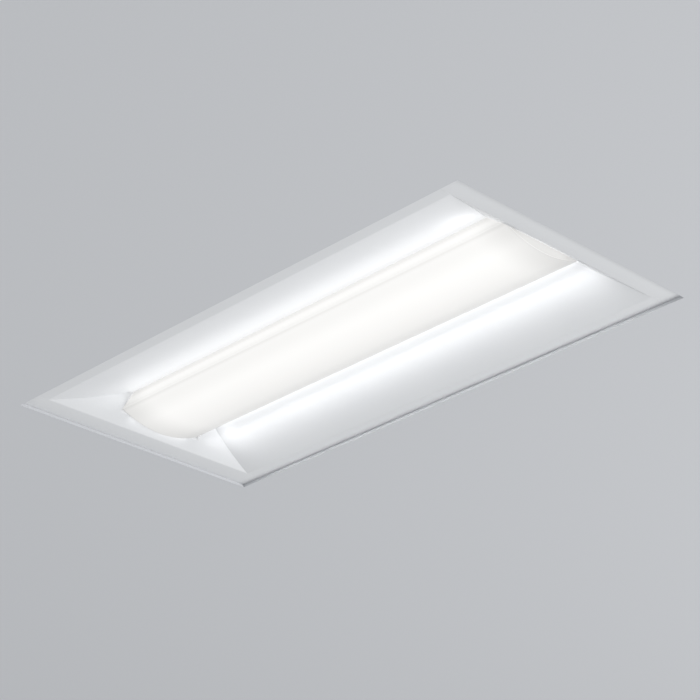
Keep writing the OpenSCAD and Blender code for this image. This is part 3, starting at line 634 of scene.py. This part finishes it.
# %% Rings and turned shapes
def inset(outline, distance):
    """A closed outline moved inwards; its points run counter-clockwise."""
    sharpest = 0.3    # keeps a sharp corner's point from moving too far
    moved = []
    for i, (y, z) in enumerate(outline):
        before, after = outline[i - 1], outline[(i + 1) % len(outline)]
        first = Vector((y - before[0], z - before[1])).normalized()
        second = Vector((after[0] - y, after[1] - z)).normalized()
        middle = (Vector((-first.y, first.x)) + Vector((-second.y, second.x))) / 2
        shift = middle * (distance / max(middle.length_squared, sharpest))
        moved.append((y + shift.x, z + shift.y))
    return moved


def ring_faces(count, rings):
    """Bands of faces between rings of points, each with the same count."""
    return [
        [low + i, low + (i + 1) % count, low + count + (i + 1) % count, low + count + i]
        for low in range(0, (rings - 1) * count, count) for i in range(count)
    ]


def circle(radius, steps):
    angles = [math.tau * k / steps for k in range(steps)]
    return [(radius * math.cos(angle), radius * math.sin(angle)) for angle in angles]


def turned(profile, steps, centre, axis, side=1, closed=False):
    """Points and faces of a turned shape. Its profile is (along the axis, radius) from end to end, or
    round a closed loop, and a list of points may stand for a radius."""
    points = []
    for along, radius in profile:
        for a, b in radius if isinstance(radius, list) else circle(radius, steps):
            offset = [a, b]
            offset.insert("xyz".index(axis), side * along)
            points.append(tuple(c + o for c, o in zip(centre, offset)))
    faces = ring_faces(steps, len(profile))
    last = (len(profile) - 1) * steps
    if closed:
        faces += [[last + k, last + (k + 1) % steps, (k + 1) % steps, k] for k in range(steps)]
    else:
        faces += [list(range(steps))[::-1], [last + k for k in range(steps)]]
    return points, faces


# %% Several shapes in one piece
def joined(*parts):
    """Several shapes' points and faces as one shape's."""
    points, faces = [], []
    for more_points, more_faces in parts:
        faces += [[i + len(points) for i in face] for face in more_faces]
        points += more_points
    return points, faces


def outward(piece):
    """Makes all faces point outwards."""
    work = bmesh.new()
    work.from_mesh(piece.data)
    bmesh.ops.recalc_face_normals(work, faces=work.faces)
    work.to_mesh(piece.data)
    work.free()
    return piece


# %% [markdown]
# ## End caps of the lens
#
# A moulded cap closes each end. Its outer edge is rounded, its face is slightly dished so that it
# stays flat as the plastic cools, a rim behind it holds it in the extrusion, and two studs carry the
# lens. A bevelled plate would look the same from below, but with the lens open the rim and the studs
# show too.

# %% End caps
rim_l, rim_t, rim_gap = 6.0, 1.8, 0.2    # the rim behind a cap, inside the extrusion


def lens_cap(end, name, node):
    outline = lens_profile()
    rings = [(-cap_t, 0), (-0.9, 0), (-0.4, 0.15), (-0.1, 0.5), (0, 1.0), (0, 2.6), (-0.5, 3.2)]
    points, faces = [], []
    for x, distance in rings:
        points += [(end * (lens_end + x), y, z) for y, z in inset(outline, distance)]
    count = len(outline)
    faces += ring_faces(count, len(rings))
    faces.append(list(range(count))[::-1])
    faces.append([(len(rings) - 1) * count + i for i in range(count)])
    # Drawn in a little, so that the rim clears the legs too
    rim = [(y * 0.974, z) for y, z in inset(outline, lens_t + rim_gap) if z < leg_top - 2.5]
    rim_points, rim_faces = [], []
    for x in (rim_gap - cap_t, -cap_t - rim_l):
        for line in (rim, [(y * 0.985, z + rim_t) for y, z in rim]):
            rim_points += [(end * (lens_end + x), y, z) for y, z in line]
    n = len(rim)
    for i in range(n - 1):
        rim_faces += [[i, i + 1, n + i + 1, n + i], [2 * n + i, 2 * n + i + 1, 3 * n + i + 1, 3 * n + i],
                      [i, i + 1, 2 * n + i + 1, 2 * n + i], [n + i, n + i + 1, 3 * n + i + 1, 3 * n + i]]
    for i in (0, n - 1):
        rim_faces.append([i, n + i, 3 * n + i, 2 * n + i])
    stud = [(-0.6, stud_r + 2), (0, stud_r + 1.6), (0.5, stud_r + 0.2), (0.9, stud_r),
            (stud_l - 0.5, stud_r), (stud_l - 0.1, stud_r - 0.3), (stud_l, stud_r - 0.8)]
    studs = [turned(stud, 24, (end * lens_end, y, stud_h), "x", end) for y in (-stud_y, catch_y)]
    piece = make_piece(name, *joined((points, faces), (rim_points, rim_faces), *studs), "lens_acrylic")
    freeze(outward(piece), 35)
    compare(piece, node)
    return settle(piece, "lens", [node])


for end, word in ((LEFT, "left"), (RIGHT, "right")):
    lens_cap(end, "lens_cap_" + word, "lens_end_cap_" + word)

# %% [markdown]
# ## Screws
#
# Pan-head screws hold the boards, the tray, the driver and the end plates. Their cross recess is
# pressed in cold, so its walls lean. A Boolean cut could make it, but the same rings that turn the head
# can carry it: 24 points on a circle meet 24 points on a cross. The thread is made the same way, with
# a radius that climbs as it goes round, which is what a rolled thread is.


# %% A screw
screw_r, screw_sides = 1.5, 24
thread_pitch, thread_depth = 0.9, 0.28


def cross(reach, width):
    """A cross of 24 points, in step with a circle of 24."""
    half = (reach + width) / 2
    arm = [(reach, 0), (reach, width), (half, width), (width, width), (width, half), (width, reach)]
    points = []
    for _ in range(4):
        points += arm
        arm = [(-b, a) for a, b in arm]
    return points


def thread(along):
    """A ring of points on a rolled thread, at a distance along the screw."""
    points = []
    for k, (a, b) in enumerate(circle(1.0, screw_sides)):
        valley = abs(2 * ((along / thread_pitch - k / screw_sides) % 1) - 1)
        radius = screw_r - thread_depth * valley
        points.append((a * radius, b * radius))
    return points


def screw(place, axis, side, length, head_r=2.9, head_h=1.4):
    """A pan-head screw, whose head sits on the place and whose shank points along the axis."""
    profile = [
        (-0.30 * head_h, cross(0.30 * head_r, 0.07 * head_r)),
        (-head_h, cross(0.54 * head_r, 0.14 * head_r)),
        (-head_h, 0.64 * head_r), (-0.94 * head_h, 0.80 * head_r), (-0.78 * head_h, 0.93 * head_r),
        (-0.50 * head_h, 0.99 * head_r), (-0.20 * head_h, head_r), (0, head_r), (0, screw_r),
        (0.4, screw_r),
    ]
    step = thread_pitch / 4
    rings = round((length - 1.0) / step)
    profile += [(0.6 + step * i, thread(step * i)) for i in range(rings)]
    profile += [(length - 0.15, 0.75 * screw_r), (length, 0.6 * screw_r)]
    return turned(profile, screw_sides, place, axis, side)


def hardware(name, node, shapes, finish_name="zinc_steel"):
    """Joins shapes into one piece on the fixture, in place of a CAD node."""
    piece = make_piece(name, *joined(*shapes), finish_name)
    freeze(outward(piece), 40)
    compare(piece, node)
    return settle(piece, "fixture", [node])


# %% Screws in their places
ends, sides = (LEFT, RIGHT), (NEAR, FAR)
corners = [(end, side) for end in ends for side in sides]
tray_top = tray_h + sheet_t
led_row_y, board_face = 45, 58.4    # the rows of LEDs, and the boards' underside
hardware("board_screws", "led_board_screws", [
    screw((end * x, side * led_row_y, board_face), "z", 1, 4.4)
    for end, side in corners for x in (53.3, 248.0, 456.7)])

wall_y, tray_screw_z = 118.8, 69    # the housing's walls, and the screws through them
hardware("tray_side_screws", "tray_screws", [
    screw((end * x, side * wall_y, tray_screw_z), "y", -side, 4.6)
    for end, side in corners for x in (138.65, 415.95)])

driver_feet_x, driver_foot_t = (20, 332), 1
hardware("driver_feet_screws", "driver_screws", [
    screw((x, 0, tray_top + driver_foot_t), "z", -1, 3.8) for x in driver_feet_x])

corner_x, plate_screw_y, housing_h = 598.5, 88.5, 92
hardware("plate_screws", "end_plate_screws", [
    screw((end * corner_x, side * plate_screw_y, housing_h), "z", -1, 3.6) for end, side in corners])

earth_x, earth_y, tag_t = 383, 69, 0.8
hardware("earth_screw", "ground_screw", [
    screw((earth_x, earth_y, tray_top + tag_t), "z", -1, 3.6, 3.4, 2.2)], "green_steel")

# %% [markdown]
# ## Rivets
#
# Everything that is never taken apart is riveted. A blind rivet is pulled from one side: it keeps a
# dimple where its mandrel broke off, and a bulb behind the sheet. On the lip the rivets are set flush,
# so that nothing there catches while the light is lifted in.

# %% A blind rivet and a flush rivet
rivet_r, rivet_head_r, rivet_head_h, rivet_sides = 2.0, 3.6, 0.8, 32


def blind_rivet(place, axis, side, grip, r=rivet_r, head_r=rivet_head_r, head_h=rivet_head_h):
    """A domed rivet, whose head sits on the place and whose shank points along the axis."""
    profile = [
        (0.45 - head_h, 0.2 * r), (0.35 - head_h, 0.28 * r), (0.05 - head_h, 0.36 * r),
        (-head_h, 0.5 * r), (-0.94 * head_h, 0.5 * head_r), (-0.76 * head_h, 0.72 * head_r),
        (-0.46 * head_h, 0.9 * head_r), (-0.18 * head_h, head_r), (0, head_r), (0, r), (grip, r),
        (grip + 0.08, 1.34 * r), (grip + 0.25, 1.4 * r), (grip + 0.65 * head_h, 1.3 * r),
        (grip + head_h, 0.9 * r),
    ]
    return turned(profile, rivet_sides, place, axis, side)


def flush_rivet(place, axis, side):
    """A rivet whose outer end is flush with the lip and whose head is inside."""
    profile = [
        (0.30, 0.3), (0.24, 0.5), (0.03, 0.72), (0, 0.95), (0, 1.75), (0.02, 1.92), (0.10, rivet_r),
        (1.8, rivet_r), (1.8, rivet_head_r), (2.05, 0.97 * rivet_head_r), (2.35, 0.84 * rivet_head_r),
        (2.6, 0.55 * rivet_head_r),
    ]
    return turned(profile, rivet_sides, place, axis, side)


# %% Rivets in their places
bracket_rivet_x, bracket_rivet_step = 546.6, 4.5
hardware("bracket_rivets_domed", "bracket_rivets", [
    blind_rivet((end * bracket_rivet_x, middle + step, tray_top), "z", -1, grip)
    for end in ends for middle, grip in ((-stud_y, 2.0), (catch_y, 1.4))
    for step in (-bracket_rivet_step, bracket_rivet_step)])

two_sheets = 2 * sheet_t
wall_rivet_pitch, wall_rivet_z = 262.83, 78
hardware("channel_rivets_domed", "channel_rivets", [
    blind_rivet((i * wall_rivet_pitch, side * wall_y, wall_rivet_z), "y", -side, two_sheets)
    for i in range(-2, 3) for side in sides])

clip_x, clip_y, clip_top = 540, 292.5, 40.8
hardware("clip_rivets_domed", "grid_clip_rivets", [
    blind_rivet((end * clip_x, side * clip_y, clip_top), "z", -1, 2.6, 2.4, 4.5, 1.5)
    for end, side in corners])

lip_rivet_z, side_rivet_pitch, end_rivet_pitch = 7, 231.04, 176.3
corner_rivet_y, corner_rivet_z = 300.5, 23.4
hardware("side_rivets_set", "side_rivets", [
    *(flush_rivet((i * side_rivet_pitch, side * half_w, lip_rivet_z), "y", -side)
      for i in range(-2, 3) for side in sides),
    *(blind_rivet((end * corner_x, side * corner_rivet_y, corner_rivet_z), "y", -side, two_sheets)
      for end, side in corners)])
hardware("end_rivets_set", "end_rivets", [
    flush_rivet((end * half_l, i * end_rivet_pitch, lip_rivet_z), "x", -end)
    for i in range(-1, 2) for end in ends])

# %% [markdown]
# ## Leads
#
# A lead keeps the curve in which it is laid. Each follows Bezier runs that share their end points, with
# a circle carried along and never twisted. Blender's own curve objects do the same, but a mesh can be
# joined with the ring tag and its crimp. Two leads bring the supply to the driver, two go down through
# the tray to the boards, and short jumpers take them on to the next boards.


# %% A lead
lead_r = 1.2


def wire(path, steps=16, per_run=24):
    """A round lead along Bezier runs, given by 3n + 1 points: ends, with two handles between them."""
    line = [Vector(path[0])]
    for i in range(0, len(path) - 1, 3):
        line += interpolate_bezier(*(Vector(point) for point in path[i:i + 4]), per_run)[1:]
    points, right = [], None
    for i, middle in enumerate(line):
        forward = (line[min(i + 1, len(line) - 1)] - line[max(i - 1, 0)]).normalized()
        right = forward.orthogonal() if right is None else right - forward * right.dot(forward)
        right.normalize()
        lift = forward.cross(right)
        points += [tuple(middle + right * a + lift * b) for a, b in circle(lead_r, steps)]
    last = (len(line) - 1) * steps
    caps = [list(range(steps))[::-1], [last + k for k in range(steps)]]
    return points, ring_faces(steps, len(line)) + caps


# %% Supply leads, output leads and jumpers
port, lead_z = 4.5, 68.8                          # pitch of the driver's ports, and their height
driver_in, driver_out, supply_in = 326, 26, 417   # the driver's two ends, and the supply connectors
supply_z, supply_pitch = 64.8, 24
run = (supply_in - driver_in) / 2
for word, y, supply_y, colour in (
    ("line", -port, -supply_pitch, "black_lead"), ("neutral", port, 0, "white_lead"),
):
    hardware(word + "_lead_round", word + "_lead", [wire([
        (driver_in, y, lead_z), (driver_in + run, y, lead_z),
        (supply_in - run, supply_y, supply_z), (supply_in, supply_y, supply_z)])], colour)

bore_y, bore_top, bore_low = 2.5, 62.8, 55.9      # straight down through the grommet
turn_y, under_z, rise_y = 9.5, 53.9, 39           # then along under the tray
plug_x, plug_y, jumper_z = 9, led_row_y - port / 2, 56.4
for side, word, colour in ((NEAR, "near", "red_lead"), (FAR, "far", "blue_lead")):
    hardware("output_lead_round_" + word, "output_lead_" + word, [wire([
        (driver_out, port * side, lead_z), (driver_out / 2, port * side, lead_z),
        (0, bore_y * side, lead_z), (0, bore_y * side, bore_top), (0, bore_y * side, bore_low),
        (0, bore_y * side, under_z), (0, turn_y * side, under_z), (0, rise_y * side, under_z),
        (0, plug_y * side, jumper_z), (plug_x, plug_y * side, jumper_z)])], colour)
jumper_y = led_row_y + port / 2
hardware("jumpers_round", "board_jumpers", [
    wire([(x, jumper_y * side, jumper_z) for x in (-plug_x, -3, 3, plug_x)]) for side in sides
], "white_lead")

# %% [markdown]
# ## Earth lead
#
# The earth lead ends in a ring tag under the green screw. The tag is stamped, so its edges are a little
# rounded, and its barrel is squeezed twice round the lead. The barrel is a turned shape whose rings are
# pressed flat and change in size, which a plain cylinder with a bevel couldn't show.


# %% Earth lead with its ring tag
def block(low, high):
    """A plain block between two opposite corners."""
    (x0, y0, z0), (x1, y1, z1) = low, high
    points = [(x, y, z) for z in (z0, z1) for x, y in ((x0, y0), (x1, y0), (x1, y1), (x0, y1))]
    return points, [[3, 2, 1, 0], [4, 5, 6, 7], [0, 1, 5, 4], [1, 2, 6, 5], [2, 3, 7, 6], [3, 0, 4, 7]]


tag = turned([(0, 1.7), (0, 4.35), (0.15, 4.5), (0.65, 4.5), (tag_t, 4.35), (tag_t, 1.7)], 40,
             (earth_x, earth_y, tray_top), "z", closed=True)
neck = block((earth_x + 4.3, earth_y - 1.5, tray_top + 0.05),
             (earth_x + 6, earth_y + 1.5, tray_top + 0.75))
crimp = [
    (x, [(0.72 * a, 0.5 * b + lead_r) for a, b in circle(2.0 * squeeze, 24)])
    for x, squeeze in (
        (0, 1.12), (0.5, 1.2), (1.6, 1.2), (2.0, 1.06), (3.0, 1.06), (3.4, 1.2), (4.5, 1.2), (5.0, 1.12)
    )
]
barrel = turned(crimp, 24, (earth_x + 5.5, earth_y, tray_top), "x")
barrel_end, hidden = earth_x + 10.5, 1.0    # the lead starts a little inside the barrel
run = (supply_in - barrel_end) / 2
lead_low = tray_top + lead_r
hardware("earth_lead_tagged", "ground_lead", [tag, neck, barrel, wire([
    (barrel_end - hidden, earth_y, lead_low), (barrel_end + run, earth_y, lead_low + 1),
    (supply_in - run, supply_pitch, supply_z), (supply_in, supply_pitch, supply_z)])], "green_lead")

# %% [markdown]
# ## Grommet
#
# A rubber grommet keeps the tray's edge from cutting the leads. It could be a torus, but the real one
# has a groove that grips the sheet, so it is turned from one closed outline, and its bore stays open.

# %% Grommet
rubber = [
    (58.0, 6.2), (58.0, 9.0), (58.2, 9.6), (58.7, 10.0), (59.4, 10.0), (60.0, 9.8), (60.0, 8.0),
    (60.8, 8.0), (60.8, 9.8), (61.4, 10.0), (62.1, 10.0), (62.6, 9.6), (62.8, 9.0), (62.8, 6.2),
    (62.6, 5.5), (62.1, 5.0), (58.7, 5.0), (58.2, 5.5),
]
hardware("grommet_rounded", "tray_grommet", [
    turned(rubber, 48, (0, 0, 0), "z", closed=True)], "grommet_rubber")

# %% [markdown]
# ## LEDs
#
# Each board carries 27 packages in a row. A package is a white cup filled with yellow phosphor, and it
# stands on two solder joints. The cups are on the CAD boards already, so this adds only the phosphor
# and the solder, a hair proud of them. They ride on the fixture with their boards.

# %% Phosphor and solder
first_led, led_pitch, leds_in_row = 27, 17.538, 27
led_places = [
    (end * (first_led + i * led_pitch), side * led_row_y)
    for end, side in corners for i in range(leds_in_row)
]
cup_z, joint_x = 57.7, 1.75    # where the phosphor starts, and half the distance between the joints
cup = [(0, 1.12), (0.03, 1.08), (0.05, 0.95), (0.03, 0.5)]
fill = [turned(cup, 20, (x, y, cup_z), "z", -1) for x, y in led_places]
settle(freeze(outward(make_piece("phosphor_fill", *joined(*fill), "led_phosphor"))), "fixture")

joint = [
    (height, [(width * a, depth * b) for a, b in circle(1.0, 12)])
    for height, width, depth in ((0, 0.45, 1.1), (0.22, 0.40, 1.0), (0.34, 0.24, 0.8))
]
solder = [turned(joint, 12, (x + step * joint_x, y, board_face), "z", -1)
          for x, y in led_places for step in (-1, 1)]
settle(freeze(outward(make_piece("led_solder", *joined(*solder), "copper"))), "fixture")
print(len(led_places), "LEDs filled and soldered")

# %% [markdown]
# ## Finishes for the CAD solids
#
# The other solids keep their CAD shape. Each takes the finish that the record names for it. Their
# edges are cut sharp, where sheared sheet has a slight burr radius that catches the light. Modifiers
# can add it without touching the mesh: Weld joins the triangles, Decimate makes them flat faces again,
# and Bevel rounds the edges between them. Rounding the triangles as they come would shade the flat
# sheets in long dark slivers.

# %% Dress the CAD nodes
slot_of = {row["node"]: row["material_slot"] for row in frame["record"]["subparts"]}
for name, node in frame["nodes"].items():
    for material_slot in node.material_slots:
        material_slot.material = finishes[slot_of[name]]
print("dressed", len(slot_of), "CAD nodes")

edge_radius = {"galvanised_steel": 0.15, "zinc_steel": 0.2, "spring_steel": 0.15, "white_enamel": 0.2}
for name in sorted(kept_nodes):
    node = frame["nodes"][name]
    node.modifiers.new("weld", "WELD").merge_threshold = 0.01 * MM
    planes = node.modifiers.new("planes", "DECIMATE")
    planes.decimate_type, planes.angle_limit = "DISSOLVE", math.radians(0.5)
    bevel(node, edge_radius.get(slot_of[name], 0.25), 40).harden_normals = True
print("rounded the edges of", len(kept_nodes))

# %% [markdown]
# ## The stage
#
# The light rests in an opening, so the floor of this scene is a plain pale panel with an opening a
# little smaller than the flange. Seen from below it is the backdrop, and seen from above it is the
# floor that the housing stands on. A backdrop painted on the world only would have no such edge for
# the flange to rest on, and no soft shadow.


# %% Panel and world
def stage_panel(reach=4000.0, hole=(602.4, 297.6), top=-0.3, bottom=-6.75):
    shell = Finish("pale_panel")
    tooth = shell.noise(300, detail=2)
    tone = shell.mix(tooth, (0.640, 0.650, 0.672, 1), (0.662, 0.672, 0.694, 1))
    finishes["pale_panel"] = shell.surface(Base_Color=tone, Roughness=0.85)
    points = [(sx * x, sy * y, z) for z in (top, bottom) for x, y in (hole, (reach, reach))
              for sx, sy in ((-1, -1), (1, -1), (1, 1), (-1, 1))]
    faces = []
    for i in range(4):
        j = (i + 1) % 4
        faces += [[i, j, 4 + j, 4 + i], [8 + i, 8 + j, 12 + j, 12 + i], [i, j, 8 + j, 8 + i],
                  [4 + i, 4 + j, 12 + j, 12 + i]]
    panel = make_piece("pale_panel", points, faces, "pale_panel")
    outward(panel)
    print(f"the panel's opening is {2 * hole[0]:.1f} by {2 * hole[1]:.1f} mm")


stage_panel()

world = bpy.data.worlds.new("soft_room")
world.use_nodes = True
scene.world = world
sky = world.node_tree.nodes["Background"]
sky.inputs["Color"].default_value = (0.97, 0.985, 1.0, 1)
sky.inputs["Strength"].default_value = 0.57

# %% [markdown]
# ## Lamps
#
# One broad lamp below and one above give the pale light a direction. The glow on the reflectors next to
# the lens is brighter than the lens's own emission can make it without turning the lens into a flat
# white shape, so slim lamps along its legs stand for the light that leaves them sideways. A real leg
# throws most of it low across the reflector, hence the narrow beams, and the rest washes the steep part
# next to it. Three small lamps fill corners that the long ones miss. They all ride with the lens.


# %% Lamps
def lamp(name, place, towards, size, illumination, body=None, spread=180):
    """An area lamp, placed in mm. Its power gives this illumination on a facing surface at the target,
    or, where it rides on a body, this brightness on its own face."""
    data = bpy.data.lights.new(name, "AREA")
    data.shape, data.size, data.size_y = "RECTANGLE", size[0] * MM, size[1] * MM
    data.spread = math.radians(spread)
    lamp_object = bpy.data.objects.new(name, data)
    scene.collection.objects.link(lamp_object)
    direction = (Vector(towards) - Vector(place)) * MM
    lamp_object.location = Vector(place) * MM
    lamp_object.rotation_euler = direction.to_track_quat("-Z", "X").to_euler()
    if body:
        data.energy = illumination * math.pi * data.size * data.size_y
        lamp_object.visible_camera = False
        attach(lamp_object, body)
    else:
        data.energy = illumination * math.pi**2 * direction.length_squared


lamp("lamp_below", (5000, 4400, -3400), (0, 0, 0), (4000, 4000), 0.55)
lamp("lamp_above", (-1600, -2000, 2800), (0, 0, 0), (2400, 2400), 0.30)

near_rise, far_rise = math.tan(math.radians(5)), math.tan(math.radians(6))
# Name, side, from and to along the light, how far outside the leg, height of the middle, width,
# direction with Y outwards, brightness and spread
for name, side, start, stop, out, z, width, aim, brightness, spread in (
    ("beam_near", NEAR, -517, 525, 2, 10, 16, (0, 1, near_rise), 0.50, 60),
    ("wash_near", NEAR, -508, 522, 1, 26, 48, (0, 1, 0), 0.66, 140),
    ("beam_far", FAR, -521, 527, 2, 10, 16, (0, 1, far_rise), 2.40, 60),
    ("wash_far", FAR, -480, 520, 1, 26, 48, (0, 1, 0), 1.50, 180),
    ("glow_far_left", FAR, -508, -468, 8.5, 20, 20, (0.35, 1, 0.1), 1.30, 90),
    ("glow_near_right", NEAR, 460, 510, 13, 18, 20, (-0.5, 1, 0.1), 1.00, 80),
    ("glow_notch", FAR, -528.5, -519.5, 1, 23, 8, (0, 1, 0), 0.50, 180),
):
    place = Vector(((start + stop) / 2, side * (leg_y + out), z))
    towards = place + Vector((aim[0], side * aim[1], aim[2]))
    lamp(name, place, towards, (width, stop - start), brightness, "lens", spread)
for end, word in ((LEFT, "left"), (RIGHT, "right")):
    cap_x, cap_z = end * (lens_end + 1.2), 9
    lamp("wash_" + word, (cap_x, 0, cap_z), (2 * cap_x, 0, cap_z), (15, 150), 0.5, "lens")
print(len(bpy.data.lights), "lamps")

# %% [markdown]
# ## Colour
#
# The Standard view shows a colour as it is written, which suits a catalogue picture of a white object
# on a pale ground. Filmic views roll the whites off and would grey the enamel.

scene.view_settings.view_transform = "Standard"
